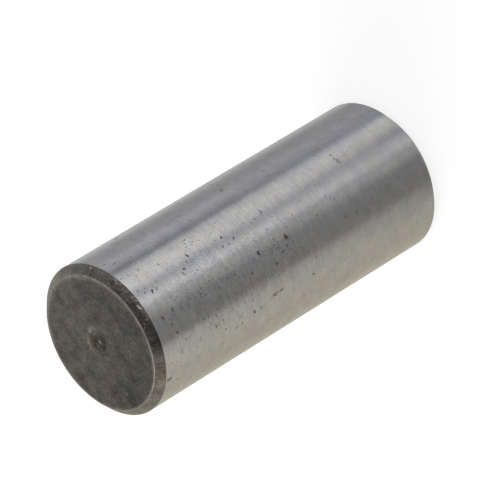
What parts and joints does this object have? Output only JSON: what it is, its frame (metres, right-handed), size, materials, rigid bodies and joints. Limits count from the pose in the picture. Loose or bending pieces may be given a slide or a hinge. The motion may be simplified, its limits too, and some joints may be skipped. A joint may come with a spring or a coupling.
{
  "type": "dowel pin",
  "caption": "Ground cylindrical steel dowel pin with chamfered ends and a small dished centre mark in one end face.",
  "frame": {"origin": "centre of the plain end face, on which the pin stands", "axes": "+Z along the pin's axis, from the plain end to the end with the centre mark; X and Y are free, since the pin is a body of revolution"},
  "size_m": [0.012, 0.012, 0.03],
  "materials": {
    "steel": "ground cylinder, bright with fine pits; chamfers and end faces dark grey-brown from heat treatment"
  },
  "bodies": {
    "root": {"dowel_pin": "steel"}
  },
  "joints": []
}
